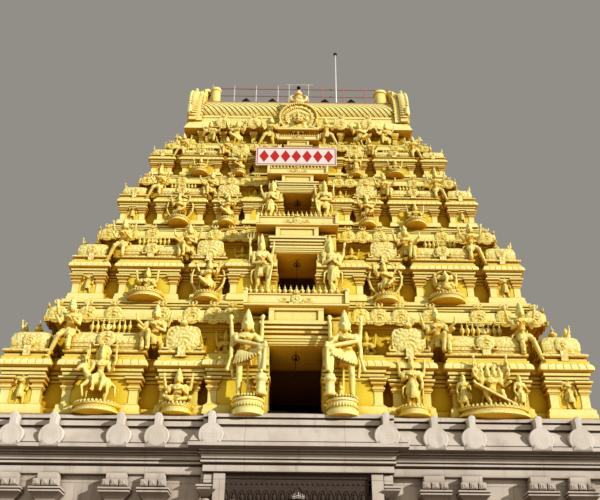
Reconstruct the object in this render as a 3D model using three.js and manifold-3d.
// A five-storey temple gate tower: a stone gatehouse with a passage straight through it,
// four stuccoed brick storeys that step back one above the other, each ringed by a parapet
// of small shrines, and a neck with a wagon-vaulted roof.
// Millimetres, +Z up. The front looks along -Y. The origin is on the ground, in the middle.
import * as THREE from 'three';
import { mergeVertices } from 'three/addons/utils/BufferGeometryUtils.js';
import Module from 'manifold-3d';

const wasm = await Module();
wasm.setup();

// Joints between neighbouring pieces of masonry
const GAP = 0.3;
// Farther out than any masonry, for boxes that cut
const far = 30000;

// Stone gatehouse
const STONE = {
  halfWidth: 8400,
  halfDepth: 5100,
  wallTop: 6900,
  passageHalfWidth: 1750,
  passageHeight: 5700,
  porchHalfWidth: 2400,
  porchStep: 400,
  bays: [[3550, 4850], [6300, 7600]],
  bayStep: 120,
};
const PLINTH = [[0, 500, 420], [500, 1000, 260], [1000, 1500, 360]];
const STONE_CORNICE = [
  [0, 6900], [0, 7120], [70, 7140], [70, 7280], [260, 7560], [400, 7600], [410, 7690],
  [370, 7860], [270, 8020], [120, 8150], [120, 8330], [30, 8350], [30, 8480], [110, 8500], [110, 8600],
];
const PORTAL = { halfWidth: 1900, thickness: 600, openHalfWidth: 1500, openHeight: 5250, top: 6780 };

// Storeys, from the lowest: levels, and half sizes of the leaf cornice, the main cornice and the door
const TIERS = [
  { name: 'tier1', base: 8600, top: 12600, width: 8340, depth: 5000, lipWidth: 7550, lipDepth: 4300, door: 760, hood: 1550 },
  { name: 'tier2', base: 12600, top: 15900, width: 7150, depth: 3950, lipWidth: 6620, lipDepth: 3300, door: 620, hood: 1345 },
  { name: 'tier3', base: 15900, top: 18400, width: 6160, depth: 3110, lipWidth: 5650, lipDepth: 2650, door: 490, hood: 1070 },
  { name: 'tier4', base: 18400, top: 20300, width: 5410, depth: 2470, lipWidth: 5000, lipDepth: 2050, door: 400, hood: 780 },
];
// Bays as shares of a storey's half width and half depth
const FRONT_BAYS = [[0, 0.307], [0.311, 0.469], [0.512, 0.795], [0.836, 1]];
const SIDE_BAYS = [[0, 0.38], [0.43, 0.67], [0.727, 1]];
// Levels as shares of a storey's height
const LEVEL = {
  sill: 0.03, plinth: 0.07, leafBottom: 0.34, deck: 0.42, course: 0.445, eave: 0.468,
  doorHead: 0.504, lintel: 0.58, strip: 0.6, stripTop: 0.695, domeTop: 0.655, fanTop: 0.7,
  finialTop: 0.775, lip: 0.785, shelf: 0.81, shelfTop: 0.94,
};
// Sizes on the lowest storey, which shrink with the half width of the storeys above
const OVERHANG = 150;
const RECESS = 350;
const LIP_OVERHANG = 380;
const WALL_THICKNESS = 700;
const CENTRE_STEP = 100;
const NICHE_DEPTH = 380;

// Neck and roof
const NECK = { base: 20300, top: 21170, halfWidth: 3950, halfDepth: 1250, thickness: 300 };
const EAVE = [[0, 21170], [0, 21210], [-90, 21330], [-210, 21470], [-330, 21590], [-330, 21760], [-250, 21800], [-250, 21970]];
const EAVE_HALF = { width: 4440, depth: 1670 };
const VAULT = { halfLength: 4000, halfDepth: 1380, base: 21970, bulge: 1470, bulgeAt: 22420, crest: 23330 };
const RIDGE = { halfLength: 3900, halfDepth: 480, top: 23450 };
const GABLE = { inner: 4000.3, outer: 4420, rim: 260, bottom: 21970, crownTop: 24150, crownHalf: 330 };
const NASI = { halfWidth: 800, bottom: 20960, top: 22380, face: 1960, waist: 560 };
const CAP = { spacing: 1110, count: 5, radius: 300, height: 330 };
const RAILING = { start: -3750, end: 3850, posts: 9, top: 24850, bar: 55, y: 400, middleTop: 25050, middleHalf: 420 };
const ROD = { x: 1600, y: 230, top: 26990, radius: 38, foot: 90 };
const SIGN = { left: -1520, right: 1400, bottom: 18620, top: 19420, thickness: 50, back: 2760 };
const GUARD = { x: 1270, y: 5400, pedestalRadius: 420, pedestalTop: 9050, height: 3100, pillar: 290 };

// Colours seen in daylight
const COLOURS = {
  stone: 0xb9afa2, carved: 0x6e5a4c, stucco: 0xe8d98a, wall: 0xd9b93c, cornice: 0xe6cf74,
  roof: 0xe0bf4a, iron: 0xa8584a, cap: 0x3a3530, rod: 0xe6e6e2, sign: 0xf4f1ea,
};

function solid(geometry) {
  for (const name of Object.keys(geometry.attributes)) {
    if (name !== 'position') {
      geometry.deleteAttribute(name);
    }
  }
  const merged = mergeVertices(geometry, 0.001);
  const position = merged.attributes.position;
  const corner = (i) => new THREE.Vector3().fromBufferAttribute(position, i);
  const kept = [];
  let volume = 0;
  for (let i = 0; i < merged.index.count; i += 3) {
    const [a, b, c] = [0, 1, 2].map((k) => merged.index.getX(i + k));
    if (a !== b && b !== c && c !== a) {
      kept.push([a, b, c]);
      volume += corner(a).dot(corner(b).cross(corner(c)));
    }
  }
  const triangles = kept.flatMap(([a, b, c]) => (volume > 0 ? [a, b, c] : [a, c, b]));
  return new wasm.Manifold(new wasm.Mesh({
    numProp: 3,
    vertProperties: new Float32Array(position.array),
    triVerts: new Uint32Array(triangles),
  }));
}

function join(pieces) {
  return pieces.reduce((sum, piece) => sum.add(piece));
}

function box(x0, x1, y0, y1, z0, z1) {
  const geometry = new THREE.BoxGeometry(x1 - x0, y1 - y0, z1 - z0);
  return solid(geometry.translate((x0 + x1) / 2, (y0 + y1) / 2, (z0 + z1) / 2));
}

// A flat outline in plan, standing from one level to another
function upright(outline, z0, z1) {
  const shape = new THREE.Shape(outline.map(([x, y]) => new THREE.Vector2(x, y)));
  const geometry = new THREE.ExtrudeGeometry(shape, { depth: z1 - z0, bevelEnabled: false });
  return solid(geometry.translate(0, 0, z0));
}

// A section of (y, z) points run along x
function alongX(section, x0, x1) {
  const shape = new THREE.Shape(section.map(([y, z]) => new THREE.Vector2(y, z)));
  const geometry = new THREE.ExtrudeGeometry(shape, { depth: x1 - x0, bevelEnabled: false });
  const turn = new THREE.Matrix4().set(0, 0, 1, x0, 1, 0, 0, 0, 0, 1, 0, 0, 0, 0, 0, 1);
  return solid(geometry.applyMatrix4(turn));
}

// An outline of (x, z) points run along y
function alongY(outline, y0, y1) {
  const shape = new THREE.Shape(outline.map(([x, z]) => new THREE.Vector2(x, z)));
  const geometry = new THREE.ExtrudeGeometry(shape, { depth: y1 - y0, bevelEnabled: false });
  const turn = new THREE.Matrix4().set(1, 0, 0, 0, 0, 0, 1, y0, 0, 1, 0, 0, 0, 0, 0, 1);
  return solid(geometry.applyMatrix4(turn));
}

// A round or many-sided turned piece: profile of (radius, z) points from its bottom to its top
function turned(profile, sides, x = 0, y = 0) {
  const points = profile.map(([r, z]) => new THREE.Vector2(r, z));
  const geometry = new THREE.LatheGeometry(points, sides).rotateX(Math.PI / 2);
  return solid(geometry.rotateZ(Math.PI / sides).translate(x, y, 0));
}

// A rectangular slab with the same moulding on its four sides: profile of (spread, z) points
function moulded(profile, halfX, halfY, x = 0, y = 0) {
  const core = Math.min(halfX, halfY);
  const diagonal = (spread) => (core + spread) * Math.SQRT2;
  const [first, last] = [profile[0], profile[profile.length - 1]];
  const points = [[0, first[1]], ...profile.map(([d, z]) => [diagonal(d), z]), [0, last[1]]];
  const geometry = new THREE.LatheGeometry(points.map(([r, z]) => new THREE.Vector2(r, z)), 4);
  geometry.rotateX(Math.PI / 2).rotateZ(Math.PI / 4);
  const position = geometry.attributes.position;
  for (let i = 0; i < position.count; i += 1) {
    const [px, py] = [position.getX(i), position.getY(i)];
    if (Math.abs(px) > 1 && Math.abs(py) > 1) {
      position.setX(i, px + Math.sign(px) * (halfX - core));
      position.setY(i, py + Math.sign(py) * (halfY - core));
    }
  }
  return solid(geometry.translate(x, y, 0));
}

// Points of an arch over a span: from its right foot over the top to its left foot
function arch(halfSpan, z0, z1, bulge, steps) {
  const points = [];
  for (let i = 0; i <= steps; i += 1) {
    const angle = (Math.PI * i) / steps;
    const swell = 1 + bulge * Math.sin(2 * Math.min(angle, Math.PI - angle));
    points.push([halfSpan * swell * Math.cos(angle), z0 + (z1 - z0) * Math.sin(angle)]);
  }
  return points;
}

const group = new THREE.Group();

function place(name, shape, colour, roughness = 0.85, metalness = 0) {
  const mesh = shape.getMesh();
  const geometry = new THREE.BufferGeometry();
  geometry.setAttribute('position', new THREE.BufferAttribute(new Float32Array(mesh.vertProperties), 3));
  geometry.setIndex(new THREE.BufferAttribute(new Uint32Array(mesh.triVerts), 1));
  geometry.computeVertexNormals();
  const material = new THREE.MeshStandardMaterial({ color: colour, roughness, metalness });
  const part = new THREE.Mesh(geometry, material);
  part.name = name;
  group.add(part);
}

// Sizes worked out for one storey
function sizes(tier) {
  const scale = tier.width / TIERS[0].width;
  const upperWidth = tier.lipWidth - LIP_OVERHANG * scale;
  const upperDepth = tier.lipDepth - LIP_OVERHANG * scale;
  return {
    ...tier,
    scale,
    overhang: OVERHANG * scale,
    recess: RECESS * scale,
    step: CENTRE_STEP * scale,
    niche: NICHE_DEPTH * scale,
    upperWidth,
    upperDepth,
    roomWidth: upperWidth - WALL_THICKNESS * scale,
    roomDepth: upperDepth - WALL_THICKNESS * scale,
    z: (share) => tier.base + share * (tier.top - tier.base),
  };
}

// One quarter of a storey's plan, from the middle of the front to the middle of a side
function quarterPlan(t, spread) {
  const wall = spread - t.overhang;
  const smallestNotch = 2 * t.overhang;
  const runFace = (bays, half, plane) => {
    const points = [];
    bays.forEach(([from, to], i) => {
      const out = plane + wall + (i === 0 ? t.step : 0);
      const back = plane + wall - t.recess;
      if (i > 0) {
        const start = from * half - wall;
        const previous = bays[i - 1][1] * half + wall;
        if (start - previous > smallestNotch) {
          points.push([previous, back], [start, back]);
        }
        points.push([start - previous > smallestNotch ? start : previous, out]);
      }
      if (i < bays.length - 1) {
        points.push([to * half + wall, out]);
      }
    });
    return points;
  };
  const front = runFace(FRONT_BAYS, t.width, t.depth).map(([along, out]) => [along, -out]);
  const side = runFace(SIDE_BAYS, t.depth, t.width).map(([along, out]) => [out, -along]).reverse();
  return [...front, [t.width + wall, -t.depth - wall], ...side];
}

function fullPlan(t, spread) {
  const quarter = quarterPlan(t, spread);
  const turnedBack = [...quarter].reverse();
  return [
    ...quarter,
    ...turnedBack.map(([x, y]) => [x, -y]),
    ...quarter.map(([x, y]) => [-x, -y]),
    ...turnedBack.map(([x, y]) => [-x, y]),
  ];
}

// A standing door guard on a round pedestal, leaning one arm on a club
function guard(side, facing) {
  const { x, y, pedestalRadius, pedestalTop, height } = GUARD;
  const base = TIERS[0].base;
  const at = (share) => pedestalTop + share * (height - (pedestalTop - base));
  const cx = side * x;
  const cy = facing * y;
  const body = [[0, 0.4], [240, 0.42], [170, 0.56], [270, 0.72], [90, 0.79], [150, 0.86], [60, 1], [0, 1]];
  const leg = (offset, lean) => {
    const foot = cx + side * offset;
    return turned([[0, 0], [110, 0], [150, 0.46], [0, 0.46]].map(([r, s]) => [r, at(s) - 20]), 4, foot, cy + lean);
  };
  const arm = box(cx - 330, cx + 330, cy - 70, cy + 70, at(0.62), at(0.7));
  const club = [[0, base + 200], [150, base + 200], [150, at(0.12)], [90, at(0.12)], [90, at(0.55)], [0, at(0.55)]];
  const pillar = turned(club, 4, cx - side * GUARD.pillar, cy);
  const drum = [[0, base + GAP], [pedestalRadius, base + GAP], [pedestalRadius, pedestalTop], [0, pedestalTop]];
  const trunk = turned(body.map(([r, s]) => [r, at(s)]), 5, cx, cy);
  const figure = join([turned(drum, 8, cx, cy), leg(110, 0), leg(-110, facing * 60), trunk, arm, pillar]);
  const t = sizes(TIERS[0]);
  const face = t.depth + t.step - 0.3 * t.overhang + GAP;
  const wallSide = box(-far, far, facing < 0 ? -face : -far, facing < 0 ? far : face, 0, far);
  return figure.subtract(wallSide);
}

function stonePlan(side, spread, front) {
  const { halfWidth, halfDepth, passageHalfWidth, porchHalfWidth, porchStep, bays, bayStep } = STONE;
  const face = [[passageHalfWidth, halfDepth + porchStep + spread], [porchHalfWidth + spread, halfDepth + porchStep + spread],
    [porchHalfWidth + spread, halfDepth + spread]];
  for (const [from, to] of bays) {
    face.push([from - spread, halfDepth + spread], [from - spread, halfDepth + bayStep + spread]);
    face.push([to + spread, halfDepth + bayStep + spread], [to + spread, halfDepth + spread]);
  }
  face.push([halfWidth + spread, halfDepth + spread]);
  const outline = [...face.map(([x, y]) => [x, -y]), ...face.reverse().map(([x, y]) => [x, y])];
  return outline.map(([x, y]) => [side * x, front * y]);
}

function stoneMass(side) {
  const courses = PLINTH.map(([z0, z1, spread]) => upright(stonePlan(side, spread, 1), z0, z1));
  courses.push(upright(stonePlan(side, 0, 1), PLINTH[PLINTH.length - 1][1], STONE.wallTop - GAP));
  const mass = join(courses);
  const room = box(-PORTAL.halfWidth - GAP, PORTAL.halfWidth + GAP, -far, far, -1, STONE.wallTop);
  const portalDepth = STONE.halfDepth + STONE.porchStep - PORTAL.thickness;
  const keep = box(-PORTAL.halfWidth - 1, PORTAL.halfWidth + 1, -portalDepth + GAP, portalDepth - GAP, -2, STONE.wallTop + 1);
  return mass.subtract(room.subtract(keep));
}

function gateLintel() {
  const depth = STONE.halfDepth + STONE.porchStep - PORTAL.thickness - GAP;
  const half = STONE.passageHalfWidth - GAP;
  return box(-half, half, -depth, depth, STONE.passageHeight, STONE.wallTop - GAP);
}

function portal(facing) {
  const outer = STONE.halfDepth + STONE.porchStep - 40;
  const inner = STONE.halfDepth + STONE.porchStep - PORTAL.thickness;
  const [y0, y1] = [facing * outer, facing * inner].sort((a, b) => a - b);
  const frame = box(-PORTAL.halfWidth, PORTAL.halfWidth, y0, y1, 0, STONE.wallTop - GAP);
  const opening = box(-PORTAL.openHalfWidth, PORTAL.openHalfWidth, y0 - 1, y1 + 1, -1, PORTAL.openHeight);
  const [p0, p1] = [facing * (outer - 180), facing * (outer + 200)].sort((a, b) => a - b);
  const panel = box(-PORTAL.openHalfWidth - 150, PORTAL.openHalfWidth + 150, p0, p1, PORTAL.openHeight + 250, PORTAL.top - 200);
  return frame.subtract(opening).subtract(panel);
}

function stoneCornice() {
  const main = moulded(STONE_CORNICE, STONE.halfWidth, STONE.halfDepth);
  const porch = moulded(STONE_CORNICE, STONE.porchHalfWidth, STONE.halfDepth + STONE.porchStep);
  return join([main, porch]);
}

// A storey's four walls as one ring, before it is parted into walls
function wallRing(t) {
  const lip = t.z(LEVEL.lip) - GAP;
  const ring = join([
    upright(fullPlan(t, t.overhang * 0.7), t.base + GAP, t.z(LEVEL.plinth)),
    upright(fullPlan(t, 0), t.z(LEVEL.plinth) - 5, t.z(LEVEL.leafBottom) + 5),
    upright(fullPlan(t, t.overhang), t.z(LEVEL.leafBottom), t.z(LEVEL.deck)),
    box(-t.upperWidth, t.upperWidth, -t.upperDepth, t.upperDepth, t.z(LEVEL.deck) - 5, lip),
  ]);
  const room = box(-t.roomWidth, t.roomWidth, -t.roomDepth, t.roomDepth, t.base - 1, t.top);
  return ring.subtract(room).subtract(doorway(t));
}

function doorway(t) {
  return box(-t.door, t.door, -far, far, t.z(LEVEL.sill), t.z(LEVEL.doorHead));
}

function cornerShrine(t, side, facing) {
  const [x0, x1] = [FRONT_BAYS[3][0] * t.width, t.width];
  const [y0, y1] = [SIDE_BAYS[2][0] * t.depth, t.depth];
  const [cx, cy] = [(side * (x0 + x1)) / 2, (facing * (y0 + y1)) / 2];
  const [hx, hy] = [(x1 - x0) / 2, (y1 - y0) / 2];
  const eave = t.z(LEVEL.eave);
  const radius = Math.min(hx, hy) * 0.92;
  const top = t.z(LEVEL.domeTop);
  const curve = [[-0.14, 0], [0, 0.28], [-0.05, 0.55], [-0.25, 0.82], [-0.75, 1]];
  const dome = curve.map(([spread, share]) => [spread * radius, eave + share * (top - eave)]);
  const finialHeight = t.z(LEVEL.finialTop) - top;
  const finial = [[0, 0], [0.16, 0], [0.3, 0.4], [0, 1]].map(([r, share]) => [r * radius, top - 20 + share * finialHeight]);
  return join([
    moulded([[-t.overhang, t.z(LEVEL.deck) + GAP], [-t.overhang, eave - 40 * t.scale], [0, eave - 30 * t.scale],
      [0, eave + 20 * t.scale], [-t.overhang, eave + 60 * t.scale]], hx, hy, cx, cy),
    moulded(dome, radius, radius, cx, cy),
    turned(finial, 4, cx, cy),
  ]);
}

// A long shrine with a barrel roof: its run lies along x, and its back towards the wall
function longShrine(t, from, to, back, front) {
  const eave = t.z(LEVEL.eave);
  const half = (front - back) / 2;
  const middle = (front + back) / 2;
  const section = arch(half * 0.92, eave - 5, t.z(LEVEL.domeTop), 0.12, 6).map(([y, z]) => [y - middle, z]);
  return join([
    box(from + t.overhang, to - t.overhang, -front + t.overhang * 0.5, -back, t.z(LEVEL.deck) + GAP, eave),
    box(from, to, -front, -back, eave - 40 * t.scale, eave + 20 * t.scale),
    alongX(section, from + t.overhang * 0.5, to - t.overhang * 0.5),
  ]);
}

// A narrow shrine with a horseshoe face, looking along -y
function fanShrine(t, from, to, back, front) {
  const eave = t.z(LEVEL.eave);
  const middle = (from + to) / 2;
  const half = (to - from) / 2;
  const face = arch(half * 0.92, eave - 5, t.z(LEVEL.fanTop), 0.12, 7).map(([x, z]) => [x + middle, z]);
  return join([
    box(from + t.overhang, to - t.overhang, -front + t.overhang * 0.5, -back, t.z(LEVEL.deck) + GAP, eave),
    box(from, to, -front, -back, eave - 40 * t.scale, eave + 20 * t.scale),
    alongY(face, -front + t.overhang * 0.3, -back),
  ]);
}

// The taller hood over a door, with its barrel-roofed shelf
function hood(t) {
  const front = t.depth + t.step;
  const wallBack = t.upperDepth + GAP;
  const shelfBack = t.lipDepth + GAP;
  const half = t.hood;
  const shelfMiddle = (front + shelfBack) / 2;
  const vault = arch((front - shelfBack) * 0.5, t.z(LEVEL.shelf) + 30 * t.scale, t.z(LEVEL.shelfTop), 0.05, 6)
    .map(([y, z]) => [y - shelfMiddle, z]);
  return join([
    box(-half * 0.95, half * 0.95, -front + t.niche, -wallBack, t.z(LEVEL.deck) + GAP, t.z(LEVEL.lip) - GAP),
    box(-half * 0.58, half * 0.58, -front + t.step * 0.5, -wallBack, t.z(LEVEL.deck) + GAP, t.z(LEVEL.lintel)),
    box(-half * 0.62, half * 0.62, -front, -wallBack, t.z(LEVEL.doorHead), t.z(LEVEL.lintel) + 5),
    box(-half * 0.58, half * 0.58, -front + t.step * 0.5, -wallBack, t.z(LEVEL.lintel), t.z(LEVEL.strip) + 5),
    box(-half * 0.66, half * 0.66, -front - t.step * 0.8, -wallBack, t.z(LEVEL.strip), t.z(LEVEL.stripTop)),
    box(-half * 0.52, half * 0.52, -front, -shelfBack, t.z(LEVEL.stripTop) - 5, t.z(LEVEL.shelf) + 5),
    box(-half, half, -front - t.step, -shelfBack, t.z(LEVEL.shelf), t.z(LEVEL.shelf) + 60 * t.scale),
    alongX(vault, -half * 0.97, half * 0.97),
  ]);
}

// The row of small shrines along the front, with the corner shrines, seen looking along +y
function parapet(t, facing) {
  const back = t.upperDepth + GAP;
  const front = t.depth;
  const pieces = [
    box(-t.width + t.overhang, t.width - t.overhang, -front + t.overhang, -back, t.z(LEVEL.deck) + GAP, t.z(LEVEL.course)),
    hood(t),
  ];
  for (const side of [-1, 1]) {
    const span = ([a, b]) => [side * a * t.width, side * b * t.width].sort((p, q) => p - q);
    pieces.push(cornerShrine(t, side, -1));
    pieces.push(longShrine(t, ...span(FRONT_BAYS[2]), back, front));
    pieces.push(fanShrine(t, ...span(FRONT_BAYS[1]), back, front));
  }
  const wall = box(-t.upperWidth - GAP, t.upperWidth + GAP, -back, back, t.base, t.top);
  const whole = join(pieces).subtract(wall).subtract(doorway(t));
  return facing < 0 ? whole : whole.rotate([0, 0, 180]);
}

// A side wall with the small shrines that stand on it, made for the side that looks along -x
function sideShrines(t) {
  const back = t.upperWidth + GAP;
  const front = t.width;
  const reach = 0.7 * t.depth;
  const turn = (shape) => shape.rotate([0, 0, -90]);
  const span = ([a, b]) => [a * t.depth, b * t.depth];
  const [from, to] = span(SIDE_BAYS[1]);
  const end = SIDE_BAYS[0][1] * t.depth;
  return join([
    box(-reach, reach, -front + t.overhang, -back, t.z(LEVEL.deck) + GAP, t.z(LEVEL.course)),
    longShrine(t, -end, end, back, front),
    fanShrine(t, from, to, back, front),
    fanShrine(t, -to, -from, back, front),
    box(-t.roomDepth + GAP, t.roomDepth - GAP, -back - 200 * t.scale, -back + 50, t.z(LEVEL.deck) - 100, t.z(LEVEL.course) - 10),
  ].map(turn));
}

function mainCornice(t) {
  const s = t.scale;
  const profile = [
    [-60 * s, t.z(LEVEL.lip)], [0, t.z(0.8)], [-20 * s, t.z(0.835)], [-110 * s, t.z(0.87)], [-270 * s, t.z(0.9)],
    [-230 * s, t.z(0.91)], [-230 * s, t.z(0.95)], [-310 * s, t.z(0.955)], [-310 * s, t.top],
  ];
  return moulded(profile, t.lipWidth, t.lipDepth);
}

for (const side of [-1, 1]) {
  place(side < 0 ? 'gatehouse_left' : 'gatehouse_right', stoneMass(side), COLOURS.stone, 0.9);
}
place('gateway_ceiling', gateLintel(), COLOURS.stone, 0.9);
place('gate_frame_front', portal(-1), COLOURS.carved, 0.8);
place('gate_frame_back', portal(1), COLOURS.carved, 0.8);
place('stone_cornice', stoneCornice(), COLOURS.stone, 0.9);

TIERS.map(sizes).forEach((t) => {
  const ring = wallRing(t);
  const r = t.roomDepth;
  place(`${t.name}_front_wall`, ring.intersect(box(-far, far, -far, -r, 0, far)), COLOURS.wall);
  place(`${t.name}_back_wall`, ring.intersect(box(-far, far, r, far, 0, far)), COLOURS.wall);
  const left = ring.intersect(box(-far, 0, -r + GAP, r - GAP, 0, far));
  const right = ring.intersect(box(0, far, -r + GAP, r - GAP, 0, far));
  place(`${t.name}_left_wall`, left.add(sideShrines(t)), COLOURS.wall);
  place(`${t.name}_right_wall`, right.add(sideShrines(t).rotate([0, 0, 180])), COLOURS.wall);
  place(`${t.name}_front_parapet`, parapet(t, -1), COLOURS.stucco);
  place(`${t.name}_back_parapet`, parapet(t, 1), COLOURS.stucco);
  place(`${t.name}_cornice`, mainCornice(t), COLOURS.cornice);
});

place('front_guard_left', guard(-1, -1), COLOURS.stucco);
place('front_guard_right', guard(1, -1), COLOURS.stucco);
place('back_guard_left', guard(-1, 1), COLOURS.stucco);
place('back_guard_right', guard(1, 1), COLOURS.stucco);

// Neck: a low ring of wall under the roof's eave
function neck() {
  const { base, top, halfWidth, halfDepth, thickness } = NECK;
  const outer = box(-halfWidth, halfWidth, -halfDepth, halfDepth, base + GAP, top - GAP);
  const foot = box(-halfWidth - 120, halfWidth + 120, -halfDepth - 120, halfDepth + 120, base + GAP, base + 150);
  const inner = box(-halfWidth + thickness, halfWidth - thickness, -halfDepth + thickness, halfDepth - thickness, 0, top);
  return outer.add(foot).subtract(inner);
}

// Section of the wagon vault in (y, z), from its front foot over the crest to its back foot
function vaultSection(grow = 0) {
  const { halfDepth, base, bulge, bulgeAt, crest } = VAULT;
  const right = new THREE.SplineCurve([
    new THREE.Vector2(halfDepth + grow, base), new THREE.Vector2(bulge + grow, bulgeAt),
    new THREE.Vector2(bulge * 0.72 + grow, bulgeAt + (crest - bulgeAt) * 0.62),
    new THREE.Vector2(bulge * 0.3, crest - 90 + grow * 0.8), new THREE.Vector2(0, crest + grow),
  ]).getPoints(8);
  const half = right.map((p) => [p.x, p.y]);
  return [...half, ...half.slice(0, -1).reverse().map(([y, z]) => [-y, z])];
}

function roof() {
  const { halfLength, halfDepth, top } = RIDGE;
  return join([
    alongX(vaultSection(), -VAULT.halfLength, VAULT.halfLength),
    box(-halfLength, halfLength, -halfDepth, halfDepth, VAULT.crest - 150, top),
  ]);
}

function gable(side) {
  const [x0, x1] = side < 0 ? [-GABLE.outer, -GABLE.inner] : [GABLE.inner, GABLE.outer];
  const plate = alongX(vaultSection(GABLE.rim), x0, x1);
  const crown = box(x0 + 40, x1 - 40, -GABLE.crownHalf, GABLE.crownHalf, VAULT.crest, GABLE.crownTop - 150);
  const peak = box(x0 + 90, x1 - 90, -GABLE.crownHalf * 0.6, GABLE.crownHalf * 0.6, VAULT.crest, GABLE.crownTop);
  const floor = box(-far, far, -far, far, 0, GABLE.bottom + GAP);
  return join([plate, crown, peak]).subtract(floor);
}

function nasi(facing) {
  const { halfWidth, bottom, top, face, waist } = NASI;
  const eaveTop = EAVE[EAVE.length - 1][1];
  const spring = bottom + waist;
  const outline = [[halfWidth * 0.7, bottom], ...arch(halfWidth, spring, top, 0.05, 12), [-halfWidth * 0.7, bottom]];
  const plate = alongY(outline, -face, -EAVE_HALF.depth - 20);
  const body = alongY(arch(halfWidth * 0.8, eaveTop + GAP, top - 90, 0, 8), -EAVE_HALF.depth - 30, -VAULT.halfDepth + 200);
  const whole = plate.add(body.subtract(alongX(vaultSection(GAP), -halfWidth * 2, halfWidth * 2)));
  return facing < 0 ? whole : whole.rotate([0, 0, 180]);
}

function ridgeCaps() {
  const { spacing, count, radius, height } = CAP;
  const z0 = RIDGE.top + GAP;
  const reach = ((count - 1) / 2) * spacing;
  const pieces = [box(-reach - radius, reach + radius, -90, 90, z0, z0 + 60)];
  for (let i = 0; i < count; i += 1) {
    const profile = [[0, 0], [1, 0], [1, 0.3], [0.7, 0.75], [0, 1]];
    pieces.push(turned(profile.map(([r, h]) => [r * radius, z0 + h * height]), 8, -reach + i * spacing, 0));
  }
  return join(pieces);
}

function railing() {
  const { start, end, posts, top, bar, y, middleTop, middleHalf } = RAILING;
  const foot = RIDGE.top + GAP;
  const h = bar / 2;
  const pieces = [box(start, end, y - h, y + h, foot, foot + 90)];
  for (let i = 0; i < posts; i += 1) {
    const x = start + h + ((end - start - bar) * i) / (posts - 1);
    pieces.push(box(x - h, x + h, y - h, y + h, foot, top));
  }
  for (const share of [0.52, 1]) {
    const z = foot + share * (top - foot);
    pieces.push(box(start, end, y - h, y + h, z - bar, z));
  }
  for (const x of [-middleHalf, middleHalf]) {
    pieces.push(box(x - h, x + h, y - h, y + h, foot, middleTop));
  }
  pieces.push(box(-middleHalf, middleHalf, y - h, y + h, middleTop - bar, middleTop));
  return join(pieces);
}

function rod() {
  const { x, y, top, radius, foot } = ROD;
  const z0 = RIDGE.top + GAP;
  return turned([[0, z0], [foot, z0], [foot, z0 + 60], [radius, z0 + 90], [radius, top - 300], [radius * 1.8, top - 260],
    [radius * 1.8, top - 200], [12, top - 180], [0, top]], 6, x, y);
}

function sign() {
  const { left, right, bottom, top, thickness, back } = SIGN;
  const board = box(left, right, -back - thickness, -back, bottom, top);
  const t = sizes(TIERS[3]);
  const seat = t.depth + t.step + GAP;
  const z = t.z(LEVEL.leafBottom) + 40;
  const strap = (x) => box(x - 40, x + 40, -back - 5, -seat, z, z + 60);
  return join([board, strap(-1000), strap(900)]);
}

place('neck', neck(), COLOURS.wall);
place('eave', moulded(EAVE, EAVE_HALF.width, EAVE_HALF.depth), COLOURS.cornice);
place('roof_vault', roof().subtract(box(-far, far, -far, far, 0, VAULT.base + GAP)), COLOURS.roof);
place('gable_left', gable(-1), COLOURS.stucco);
place('gable_right', gable(1), COLOURS.stucco);
place('roof_arch_front', nasi(-1), COLOURS.stucco);
place('roof_arch_back', nasi(1), COLOURS.stucco);
place('ridge_caps', ridgeCaps(), COLOURS.cap, 0.6);
place('roof_railing', railing(), COLOURS.iron, 0.5, 0.3);
place('lightning_rod', rod(), COLOURS.rod, 0.4, 0.6);
place('sign_board', sign(), COLOURS.sign, 0.5);

export default group;
